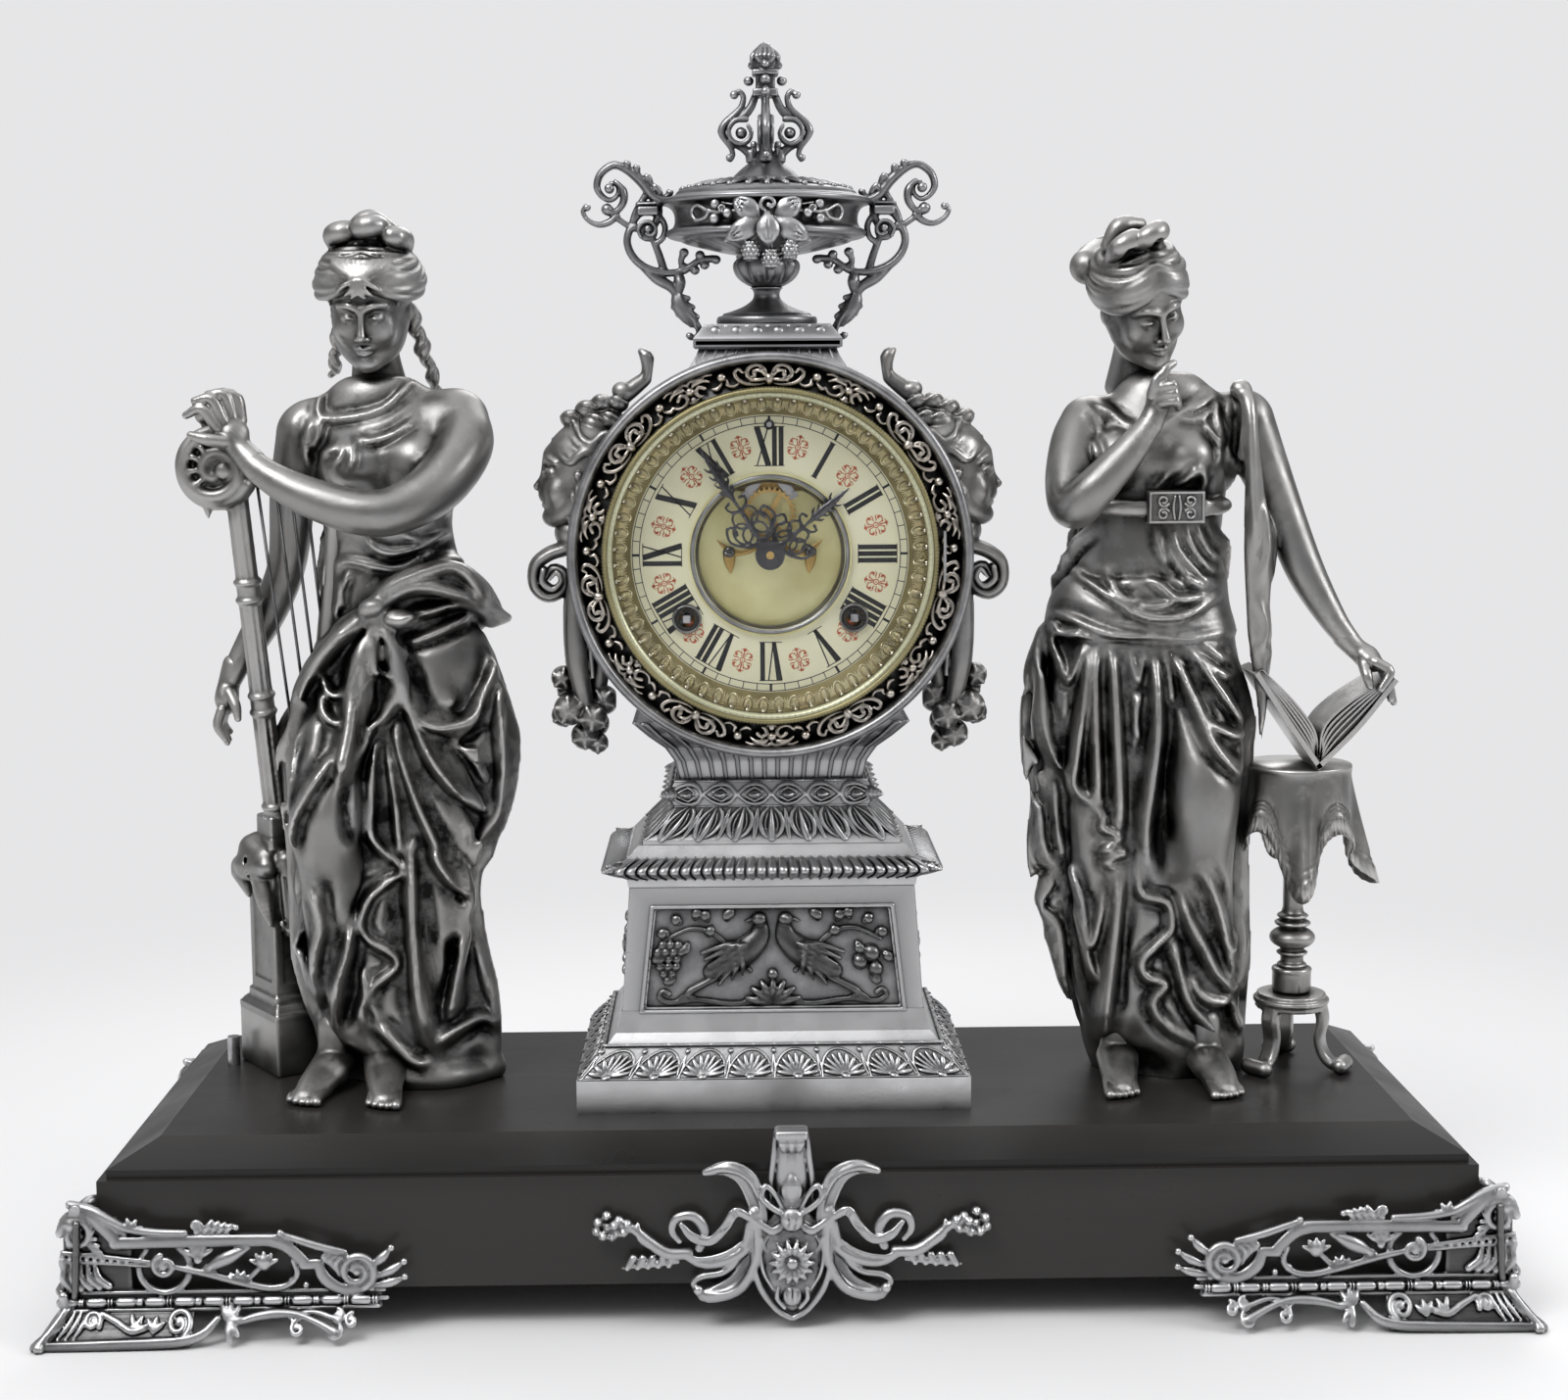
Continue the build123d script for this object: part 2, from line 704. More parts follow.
def urn(z0):
    """The urn: turned foot and stem, open bowl, lid, finial, two scrolled handles and fruit."""
    foot_z = z0 + urn_foot_height
    stem_z = foot_z + urn_stem_height
    bulb_z = stem_z + urn_bulb_height
    shoulder_share = 0.55
    stem = turned([(0, z0), (urn_foot_radius, z0), (urn_foot_radius, foot_z),
                   (urn_stem_radius * 2, foot_z + urn_foot_height),
                   (urn_stem_radius, stem_z), (urn_bulb_radius * shoulder_share * 3 / 2,
                                               stem_z + urn_bulb_height / 4),
                   (urn_bulb_radius, stem_z + urn_bulb_height * shoulder_share),
                   (urn_bulb_radius * shoulder_share, bulb_z),
                   (0, bulb_z)])
    side_z = bulb_z + bowl_floor_height
    rim_z = side_z + bowl_side_height
    lip = bowl_rim_radius - bowl_radius
    inner = bowl_radius - bowl_wall
    bowl = turned([(0, bulb_z), (urn_bulb_radius, bulb_z), (bowl_radius, side_z),
                   (bowl_radius, rim_z - lip),
                   (bowl_rim_radius, rim_z - lip), (bowl_rim_radius, rim_z), (inner, rim_z),
                   (inner, side_z), (urn_bulb_radius, bulb_z + bowl_wall), (0, bulb_z + bowl_wall)])
    lid_z = rim_z + lid_height
    cone_z = lid_z + lid_cone_height
    lid = turned([(0, rim_z - lip), (inner - seat_gap, rim_z - lip), (inner - seat_gap, rim_z),
                  (bowl_radius, rim_z),
                  (lid_radius, lid_z - lid_height / 4), (lid_cone_radius, lid_z),
                  (lid_cone_top_radius, cone_z), (0, cone_z)])
    cage_z = cone_z + finial_cage_height
    collar_z = cage_z + finial_collar_height
    tip_z = collar_z + finial_cone_height
    cage_share = 0.5
    finial = turned([(0, cone_z), (lid_cone_top_radius, cone_z),
                     (finial_collar_radius / 2, cone_z + finial_cage_height / 4),
                     (finial_collar_radius / 2, cage_z), (finial_collar_radius, cage_z),
                     (finial_collar_radius, collar_z),
                     (finial_cone_radius, collar_z + finial_cone_height / 4), (0, tip_z)])
    arm = (finial_cage_radius - finial_collar_radius) * cage_share
    for turn in range(4):
        loop = [(0, 0, cone_z + arm / 2), (finial_cage_radius * cage_share, 0, cone_z + arm),
                (finial_cage_radius, 0, cone_z + finial_cage_height * cage_share),
                (finial_cage_radius * cage_share, 0, cage_z - arm), (0, 0, cage_z)]
        finial += Rot(0, 0, turn * 90) * bar(loop, [handle_radius / 2] * len(loop))
    side = bowl_radius - handle_radius / 2
    mid_z = side_z + bowl_side_height / 2
    reach = handle_reach - side
    drop = mid_z - z0
    handle_shares = ((0.00, 0.00), (0.30, 0.35), (0.62, 0.42), (0.98, 0.14), (0.88, -0.16),
                     (0.50, -0.30), (0.30, -0.62), (-0.04, -0.80), (-0.17, -1.04))
    route = [(-(side + sx * reach), 0, mid_z + sz * drop) for sx, sz in handle_shares]
    handle = bar(route, [handle_radius] * len(route))
    solid_bowl = turned([(0, bulb_z), (urn_bulb_radius, bulb_z), (bowl_radius, side_z),
                         (bowl_radius, rim_z - lip),
                         (bowl_rim_radius, rim_z - lip), (bowl_rim_radius, rim_z + lip), (0, rim_z + lip)])
    handle = largest(handle - solid_bowl)
    fruit_z = mid_z - bowl_side_height / 4
    fruit = egg(0, -bowl_radius, fruit_z, fruit_radius, fruit_radius / 2, fruit_height / 2)
    fruit = fruit + egg(0, -bowl_radius, mid_z, fruit_radius * 2, fruit_radius / 2, fruit_radius * 2 / 3)
    fruit = largest(fruit - solid_bowl)
    return stem, bowl, lid, finial, handle, fruit


def side_mask():
    """The left mask: a veiled head on the side of the drum, with a scroll and a hanging swag."""
    x = -(drum_radius + mask_reach / 3)
    z = dial_height + mask_middle
    head = egg(x, 0, z, mask_reach * 2 / 3, mask_depth / 2, mask_height / 2)
    crest_x = -math.sqrt(drum_radius ** 2 - (mask_middle + mask_height / 2 + swag_radius) ** 2)
    crest = bar([(x, 0, z + mask_height / 4), (crest_x - swag_radius, 0,
                                               z + mask_height / 2 + swag_radius)],
                [swag_radius, swag_radius / 2])
    swag_x = -(drum_radius + swag_offset)
    swag_top = z - mask_height / 2 - swag_radius
    scroll = bar([(x, 0, z - mask_height / 3), (swag_x, 0, swag_top)], [swag_radius, swag_radius])
    swag = bar([(swag_x, 0, swag_top), (swag_x + swag_radius / 2, 0, swag_top - swag_drop)],
               [swag_radius, swag_radius * 3 / 4])
    blossom = egg(swag_x + swag_radius / 2, 0, swag_top - swag_drop + blossom_radius / 2,
                  blossom_radius, blossom_radius, blossom_radius)
    whole = fuse([head, crest, scroll, swag, blossom])
    return largest(whole - rod_y(drum_radius, -plinth_depth, plinth_depth, 0, dial_height))


def dial():
    """Mounting pan, porcelain ring, recessed centre pan, eyelets and the egg-and-dart ring."""
    z = dial_height
    back = dial_front + dial_thickness
    pan_back = back + pan_thickness
    inner = drum_radius - drum_wall - seat_gap
    anchor_slot_x = anchor_pin_x + eyelet_bore
    pan = ring_y(inner, dial_opening, back, pan_back, 0, z)
    porcelain = ring_y(dial_radius, dial_opening, dial_front, back, 0, z)
    for side in (-1, 1):
        pan -= rod_y(eyelet_radius - eyelet_height, back - cut_overrun, pan_back + cut_overrun,
                     side * winding_x, z - winding_drop)
        porcelain -= rod_y(eyelet_radius - eyelet_height, dial_front - cut_overrun, back + cut_overrun,
                           side * winding_x, z - winding_drop)
    hole = 2 * arbor_radius
    pan -= rod_y(hole, back - cut_overrun, pan_back + cut_overrun, 0, z + regulator_height)
    porcelain -= rod_y(hole, dial_front - cut_overrun, back + cut_overrun, 0, z + regulator_height)
    eyelets = []
    for side in (-1, 1):
        x = side * winding_x
        eyelet = ring_y(eyelet_radius, eyelet_bore, dial_front - eyelet_height, dial_front, x,
                        z - winding_drop)
        eyelet += ring_y(eyelet_radius - eyelet_height, eyelet_bore, dial_front, back, x, z - winding_drop)
        eyelets.append(eyelet)
    wall_outer = dial_opening - seat_gap
    wall_inner = wall_outer - pan_thickness
    floor = dial_front + pan_depth
    rim_front = dial_front - pan_rim
    centre = ring_y(wall_outer, wall_inner, rim_front, floor, 0, z)
    centre += ring_y(wall_outer + pan_rim, wall_inner, rim_front, dial_front, 0, z)
    centre += rod_y(wall_outer, floor - pan_thickness, floor, 0, z)
    pipe_hole = centre_radius + running + pipe_wall + 2 * motion_gap
    centre -= rod_y(pipe_hole, rim_front, floor + cut_overrun, 0, z)
    centre -= rod_y(2 * arbor_radius, floor - cut_overrun, floor + cut_overrun, 0, z + escape_rise)
    slot_low = z + anchor_pin_rise + anchor_pin_radius
    centre -= box_between(-anchor_slot_x, anchor_slot_x,
                          dial_front + dial_thickness + pan_thickness + seat_gap,
                          floor + cut_overrun, slot_low, z + dial_opening + cut_overrun)
    flange = rehaut_radius - rehaut_wall
    cone = [(dial_radius - rehaut_wall, dial_front), (dial_radius + rehaut_wall, dial_front),
            (rehaut_radius - seat_gap, rehaut_front + rehaut_wall),
            (rehaut_radius - seat_gap, rehaut_front),
            (flange - rehaut_wall, rehaut_front)]
    sketch = Plane.XY * make_face(Polyline(*cone, close=True))
    rehaut = Pos(0, 0, z) * revolve(sketch, Axis.Y)
    return pan, porcelain, eyelets, centre, rehaut


def bezel():
    """The hinged bezel ring and its glass."""
    z = dial_height
    back = ring_front - bezel_gap
    ring = ring_y(bezel_radius, bezel_inner, bezel_front, back, 0, z)
    rebate = bezel_inner + glass_thickness
    ring -= rod_y(rebate, back - glass_thickness, back + cut_overrun, 0, z)
    glass = rod_y(rebate, back - glass_thickness, back, 0, z)
    half = door_knuckle / 2
    leaf = box_between(bezel_radius - barrel_radius * 2, door_hinge_x,
                       door_hinge_y + barrel_radius / 2 - barrel_radius / 4,
                       bezel_front + barrel_radius, z - half, z + half)
    barrel = rod_z(barrel_radius, z - half, z + half, door_hinge_x, door_hinge_y)
    ring = ring + leaf + barrel
    ring -= rod_z(hinge_pin_radius + hinge_running, z - half - cut_overrun, z + half + cut_overrun,
                  door_hinge_x, door_hinge_y)
    ring -= rod_y(bezel_inner, bezel_front - door_knuckle, back + cut_overrun, 0, z)
    pin_half = half + knuckle_gap + fixed_knuckle
    knuckles = []
    for side in (-1, 1):
        low = z + side * (half + knuckle_gap)
        high = z + side * pin_half
        knuckle = rod_z(barrel_radius, min(low, high), max(low, high), door_hinge_x, door_hinge_y)
        foot_leaf = box_between(door_hinge_x - barrel_radius / 2, door_hinge_x + barrel_radius,
                                door_hinge_y, ring_front,
                                min(low, high), max(low, high))
        knuckles.append(knuckle + foot_leaf)
    pin = rod_z(hinge_pin_radius, z - pin_half, z + pin_half, door_hinge_x, door_hinge_y)
    return ring, glass, knuckles, pin


def rear_cover():
    """The hinged back cover with its knob."""
    z = dial_height
    y0 = drum_back + bezel_gap
    y1 = y0 + cover_thickness
    hinge_y = y1 + barrel_radius
    half = door_knuckle / 2
    disc = rod_y(cover_radius, y0, y1, 0, z)
    leaf = box_between(cover_radius - 2 * barrel_radius, cover_hinge_x, y1, hinge_y, z - half, z + half)
    barrel = rod_z(barrel_radius, z - half, z + half, cover_hinge_x, hinge_y)
    knob = rod_y(cover_knob_radius, y1, y1 + cover_knob_height, -cover_radius + 2 * cover_knob_radius, z)
    disc = disc + leaf + barrel + knob
    disc -= rod_z(hinge_pin_radius + hinge_running, z - half - cut_overrun, z + half + cut_overrun,
                  cover_hinge_x, hinge_y)
    pin_half = half + knuckle_gap + fixed_knuckle
    knuckles = []
    for side in (-1, 1):
        low = z + side * (half + knuckle_gap)
        high = z + side * pin_half
        knuckle = rod_z(barrel_radius, min(low, high), max(low, high), cover_hinge_x, hinge_y)
        leaf_in = box_between(cover_hinge_x - barrel_radius / 2, cover_hinge_x + barrel_radius, drum_back,
                              hinge_y,
                              min(low, high), max(low, high))
        knuckles.append(knuckle + leaf_in)
    pin = rod_z(hinge_pin_radius, z - pin_half, z + pin_half, cover_hinge_x, hinge_y)
    return disc, knuckles, pin, hinge_y


def train_places():
    """Where the arbors stand: great, third, escape and minute wheels, relative to the hands."""
    reach = math.hypot(winding_x, winding_drop)
    great_pitch = reach * great_teeth / (great_teeth + centre_pinion_teeth)
    first = (centre_teeth + third_pinion_teeth) * fine_module / 2
    second = (third_teeth + escape_pinion_teeth) * fine_module / 2
    rise = (first ** 2 - second ** 2 + escape_rise ** 2) / (2 * escape_rise)
    third = (-math.sqrt(first ** 2 - rise ** 2), rise)
    spacing = (cannon_teeth + minute_teeth) * fine_module / 2
    turn = math.radians(minute_wheel_turn)
    minute = (spacing * math.cos(turn), spacing * math.sin(turn))
    return great_pitch, reach - great_pitch, third, minute, spacing


def movement():
    """Plates on pillars, the going train, the motion work, the escapement and the winding arbors."""
    z = dial_height
    great_pitch, pinion_pitch, third, minute, spacing = train_places()
    fp0 = front_plate
    fp1 = fp0 + plate_thickness
    bp0 = fp1 + plate_gap
    bp1 = bp0 + plate_thickness
    rear = bp1 + arbor_overrun
    half_w = plate_width / 2
    half_h = plate_height / 2
    fronts = box_between(-half_w, half_w, fp0, fp1, z - half_h, z + half_h)
    backs = box_between(-half_w, half_w, bp0, bp1, z - half_h, z + half_h)
    frame = []
    dial_back = dial_front + dial_thickness + pan_thickness
    corner_x = half_w - pillar_inset
    corner_z = half_h - pillar_inset
    for sx in (-1, 1):
        frame.append(rod_y(pillar_radius, fp1, bp0, sx * corner_x, z + corner_z))
        frame.append(rod_y(pillar_radius, fp1, bp0, sx * corner_x, z + 2 * pillar_inset))
        for sz in (-1, 1):
            frame.append(rod_y(pillar_radius, dial_back, fp0, sx * corner_x, z + sz * corner_z))
    frame.append(rod_y(pillar_radius, fp1, bp0, 0, z - half_h + pillar_radius + arbor_overrun))
    holes = [(0, 0, centre_radius), (third[0], third[1], arbor_radius), (0, escape_rise, arbor_radius),
             (0, anchor_rise, arbor_radius), (winding_x, -winding_drop, winding_arbor_radius),
             (-winding_x, -winding_drop, winding_arbor_radius)]
    low = fp0 - cut_overrun
    high = bp1 + cut_overrun
    for hx, hz, radius in holes:
        bore = rod_y(radius + running, low, high, hx, z + hz)
        fronts -= bore
        backs -= bore
    stud = rod_y(arbor_radius + running, low, fp1 + cut_overrun, minute[0], z + minute[1])
    fronts -= stud
    ear = 2 * pillar_radius
    fronts += box_between(-ear, ear, fp0, fp1, z, z + regulator_height + ear)
    for hx, hz, radius in holes[2:4]:
        fronts -= rod_y(radius + running, low, high, hx, z + hz)
    fronts -= rod_y(centre_radius + running, low, high, 0, z)
    fronts -= rod_y(arbor_radius + running, low, fp1 + cut_overrun, 0, z + regulator_height)
    backs -= rod_y(arbor_radius + running, bp0 - cut_overrun, high, hammer_x, z + hammer_rise)
    post_z = z + anchor_rise + suspension_rise
    tab_y = pendulum_y + rod_radius + suspension_gap
    post = rod_y(pillar_radius, bp1, tab_y, 0, post_z)
    tab = box_between(-pillar_radius, pillar_radius, tab_y, tab_y + crutch_plate,
                      z + anchor_rise - pillar_radius,
                      post_z + pillar_radius)
    pin = rod_y(rod_radius, pendulum_y - rod_radius - running, tab_y, 0, z + anchor_rise)
    frame += [fronts, fuse([backs, post, tab, pin])]

    toward_centre = math.degrees(math.atan2(winding_drop, -winding_x))
    gy0 = great_plane
    gy1 = great_plane + great_thickness
    great = gear(great_teeth, great_pitch, toward_centre, False, gy0, gy1, winding_x, z - winding_drop)
    great += rod_y(2 * winding_arbor_radius, gy0 - great_thickness, gy1 + great_thickness, winding_x,
                   z - winding_drop)
    great -= rod_y(winding_arbor_radius + running, gy0 - 2 * great_thickness, gy1 + 2 * great_thickness,
                   winding_x,
                   z - winding_drop)

    toward_great = toward_centre + 180
    pinion_over = great_thickness / 2
    arbor = rod_y(centre_radius, minute_front - nut_height, rear, 0, z)
    arbor += gear(centre_pinion_teeth, pinion_pitch, toward_great, True, gy0 - pinion_over,
                  gy1 + pinion_over, 0, z)
    toward_third = math.degrees(math.atan2(third[1], third[0]))
    cy1 = centre_plane + wheel_thickness
    arbor += gear(centre_teeth, centre_teeth * fine_module / 2, toward_third, False, centre_plane, cy1, 0,
                  z)
    toward_minute = minute_wheel_turn
    motion_back = fp0 - motion_gap
    cannon_front = motion_back - 2 * wheel_thickness
    arbor += gear(cannon_teeth, spacing * cannon_teeth / (cannon_teeth + minute_teeth), toward_minute, True,
                  cannon_front + wheel_thickness / 2, motion_back, 0, z)

    ty1 = third_plane + wheel_thickness
    wheel3 = rod_y(arbor_radius, fp0 - arbor_overrun / 2, rear, third[0], z + third[1])
    wheel3 += gear(third_pinion_teeth, third_pinion_teeth * fine_module / 2, toward_third + 180, True,
                   centre_plane - wheel_thickness / 2, cy1 + wheel_thickness / 2, third[0], z + third[1])
    to_escape = math.degrees(math.atan2(escape_rise - third[1], -third[0]))
    wheel3 += gear(third_teeth, third_teeth * fine_module / 2, to_escape, False, third_plane, ty1, third[0],
                   z + third[1])

    ez = z + escape_rise
    escape = rod_y(arbor_radius, escape_front - arbor_overrun, rear, 0, ez)
    escape += gear(escape_pinion_teeth, escape_pinion_teeth * fine_module / 2, to_escape + 180, True,
                   third_plane - wheel_thickness / 2, ty1 + wheel_thickness / 2, 0, ez)
    tip_pitch = escape_radius / (1 + 2 / escape_teeth)
    wheel = gear(escape_teeth, tip_pitch, 90, False, escape_front, escape_front + escape_thickness, 0, ez)
    rim_share = 0.78
    spoke_share = 0.09
    hub_share = 0.24
    cut = ring_y(escape_radius * rim_share, escape_radius * hub_share, escape_front - cut_overrun,
                 escape_front + cut_overrun, 0, ez)
    for turn in range(3):
        spoke = box_between(-escape_radius * spoke_share, escape_radius * spoke_share,
                            escape_front - 2 * cut_overrun,
                            escape_front + 2 * cut_overrun, 0, escape_radius)
        cut -= Pos(0, 0, ez) * Rot(0, turn * 120 + 30, 0) * spoke
    escape += wheel - cut

    az = z + anchor_rise
    plate_back = anchor_front + anchor_thickness
    crutch_front = rear + motion_gap / 2
    crutch_back = crutch_front + crutch_plate
    anchor = rod_y(arbor_radius, anchor_front - anchor_thickness, crutch_back, 0, az)
    arm_share = 0.16
    arm = anchor_pin_x * arm_share
    low_rise = anchor_pin_rise - anchor_pin_radius
    limb_points = [(-anchor_pin_x - arm, z + low_rise), (-anchor_pin_x + arm, z + low_rise - arm),
                   (-arm, az - 2 * arm), (arm, az - 2 * arm), (anchor_pin_x - arm, z + low_rise - arm),
                   (anchor_pin_x + arm, z + low_rise), (2 * arm, az + arm), (-2 * arm, az + arm)]
    anchor += plate_y(make_face(Polyline(*limb_points, close=True)), anchor_front, plate_back)
    for side in (-1, 1):
        anchor += rod_y(anchor_pin_radius, escape_front - arbor_overrun, anchor_front, side * anchor_pin_x,
                        z + anchor_pin_rise)
    fork_half = rod_radius + crutch_slot + crutch_plate
    crutch_z = az - crutch_drop
    anchor += box_between(-crutch_plate, crutch_plate, crutch_front, crutch_back, crutch_z, az)
    fork = box_between(-fork_half, fork_half, crutch_front, pendulum_y + rod_radius,
                       crutch_z - crutch_plate,
                       crutch_z + crutch_plate)
    inner_fork = rod_radius + crutch_slot
    fork -= box_between(-inner_fork, inner_fork, pendulum_y - rod_radius - crutch_slot,
                        pendulum_y + 2 * rod_radius,
                        crutch_z - 2 * crutch_plate, crutch_z + 2 * crutch_plate)
    anchor += fork

    mz = z + minute[1]
    wheel_m = rod_y(arbor_radius, cannon_front - 2 * wheel_thickness, fp1, minute[0], mz)
    wheel_m += gear(minute_teeth, spacing * minute_teeth / (cannon_teeth + minute_teeth),
                    toward_minute + 180, False,
                    motion_back - wheel_thickness, motion_back, minute[0], mz)
    pinion_m = spacing * minute_pinion_teeth / (minute_pinion_teeth + hour_teeth)
    wheel_m += gear(minute_pinion_teeth, pinion_m, toward_minute + 180, True,
                    cannon_front - 2 * wheel_thickness,
                    motion_back - wheel_thickness, minute[0], mz)
    hour_back = cannon_front - motion_gap / 2
    wheel_h = gear(hour_teeth, spacing - pinion_m, toward_minute, False, hour_back - wheel_thickness,
                   hour_back, 0, z)
    pipe = centre_radius + running + pipe_wall
    wheel_h += rod_y(pipe, hour_front, hour_back, 0, z)
    wheel_h -= rod_y(centre_radius + running, hour_front - cut_overrun, hour_back + cut_overrun, 0, z)

    windings = []
    for side in (-1, 1):
        wx = side * winding_x
        wz = z - winding_drop
        key_square = box_between(wx - winding_square / 2, wx + winding_square / 2, winding_front,
                                 fp0 - arbor_overrun,
                                 wz - winding_square / 2, wz + winding_square / 2)
        wind = rod_y(winding_arbor_radius, fp0 - arbor_overrun, rear, wx, wz) + key_square
        wind += rod_y(ratchet_radius, ratchet_plane, ratchet_plane + great_thickness, wx, wz)
        windings.append(wind)
    regulator_z = z + regulator_height
    regulator = rod_y(arbor_radius, dial_front - eyelet_height, fp1 + arbor_overrun, 0, regulator_z)
    regulator += rod_y(pillar_radius, fp0 - motion_gap - plate_thickness, fp0 - motion_gap, 0, regulator_z)
    return frame, great, arbor, wheel3, escape, anchor, wheel_m, wheel_h, windings, regulator, rear


def pendulum_piece():
    """Rod and bob, hung behind the movement on the same line as the pallet arbor."""
    az = dial_height + anchor_rise
    hub = 2 * arbor_radius
    rod = rod_z(rod_radius, az - pendulum_length, az, 0, pendulum_y)
    eye = rod_y(hub, pendulum_y - rod_radius, pendulum_y + rod_radius, 0, az)
    eye_hole = rod_y(rod_radius + running, pendulum_y - hub, pendulum_y + hub, 0, az)
    bob = rod_y(bob_radius, pendulum_y - bob_thickness / 2, pendulum_y + bob_thickness / 2, 0,
                az - pendulum_length)
    return rod + eye + bob - eye_hole


def striking():
    """The spiral gong on its block, and the hammer that swings at it."""
    z = dial_height
    radius = gong_radius
    x = 0
    edges = []
    plane_y = gong_y
    start = (-radius, plane_y, z)
    sign = -1
    for turn in range(gong_half_turns):
        end = (x - sign * radius, plane_y, z)
        top = (x, plane_y, z + sign * radius)
        edges.append(ThreePointArc(start, top, end))
        next_radius = radius - gong_step / 2
        x = end[0] + sign * next_radius
        radius = next_radius
        start = end
        sign = -sign
    path = Wire([edge.edge() for edge in edges])
    section = Plane(origin=path @ 0, z_dir=path % 0) * Circle(gong_wire)
    coil = sweep(section.face(), path=path)
    low = z - (drum_radius - drum_wall) + seat_gap
    block_x = -gong_radius
    reach = math.sqrt((drum_radius - drum_wall) ** 2 - gong_radius ** 2)
    block = rod_z(gong_block_radius, z - reach - gong_block_radius, z,
                  block_x - gong_wire - gong_block_radius + gong_wire, gong_y)
    block = block & rod_y(drum_radius - drum_wall - seat_gap, front_plate, drum_back, 0, z)
    gong = coil + block
    head_z = z
    head_x = gong_radius + gong_wire + hammer_rest_gap + hammer_head_radius
    bp0 = front_plate + plate_thickness + plate_gap
    hammer = rod_y(arbor_radius, bp0 - arbor_overrun, gong_y + arbor_radius, hammer_x, z + hammer_rise)
    hammer += bar([(hammer_x, gong_y, z + hammer_rise), (head_x, gong_y, head_z)],
                  [arbor_radius, arbor_radius])
    hammer += rod_y(hammer_head_radius, gong_y - hammer_head_radius, gong_y + hammer_head_radius, head_x,
                    head_z)
    return gong, hammer, low


def hands():
    """Pierced hour and minute hands and the nut that holds them."""
    z = dial_height

    def hand(length, turn, hole, front, pad):
        loop_share = 0.13
        place_share = 0.34
        band_share = 0.6
        tip_share = 0.52
        loop = length * loop_share
        place = length * place_share
        shape = Circle(hand_hub_radius)
        for side in (-1, 1):
            at_place = Pos(place, side * loop)
            shape += at_place * Circle(loop) - at_place * Circle(loop * band_share)
        shape += Pos(place + loop, 0) * Circle(loop * band_share)
        shape += Pos(place / 2, 0) * Rectangle(place + 2 * loop, pad)
        shape += make_face(Polyline((length * tip_share - loop, -pad), (length, 0),
                                    (length * tip_share - loop, pad), close=True))
        shape -= Circle(hole)
        outline = Pos(0, z) * Rot(0, 0, 90 - turn) * shape
        return plate_y(outline, front, front + hand_thickness)

    hour = hand(hour_length, hour_turn, centre_radius + running + pipe_wall, hour_front, arbor_radius * 2)
    minute = hand(minute_length, minute_turn, centre_radius, minute_front, arbor_radius * 3 / 2)
    nut = rod_y(nut_radius, minute_front - nut_height, minute_front, 0, z)
    nut -= rod_y(centre_radius, minute_front - nut_height - cut_overrun, minute_front + cut_overrun, 0, z)
    return hour, minute, nut


